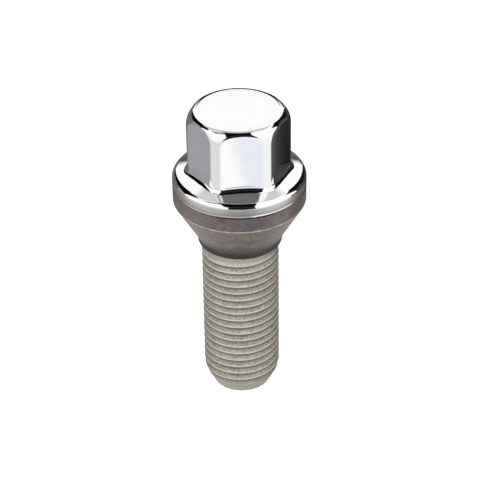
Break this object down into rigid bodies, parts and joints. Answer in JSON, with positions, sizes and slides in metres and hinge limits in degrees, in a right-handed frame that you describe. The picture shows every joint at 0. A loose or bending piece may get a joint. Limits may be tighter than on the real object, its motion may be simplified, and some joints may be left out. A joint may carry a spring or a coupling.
{
  "type": "wheel bolt",
  "caption": "Hex-head wheel bolt with a bright flanged head, a bare conical seat and a right-hand metric fine thread, for clamping a road wheel to its hub.",
  "frame": {"origin": "centre of the flat face of the tip, which the bolt stands on", "axes": "+Z runs along the bolt's axis from the tip to the head, and -Y is the front: the flat that faces the camera is turned a few degrees from it"},
  "size_m": [0.0238, 0.024, 0.0579],
  "materials": {
    "bolt_steel": "satin"
  },
  "bodies": {
    "root": {"wheel_bolt": "bolt_steel"}
  },
  "joints": []
}
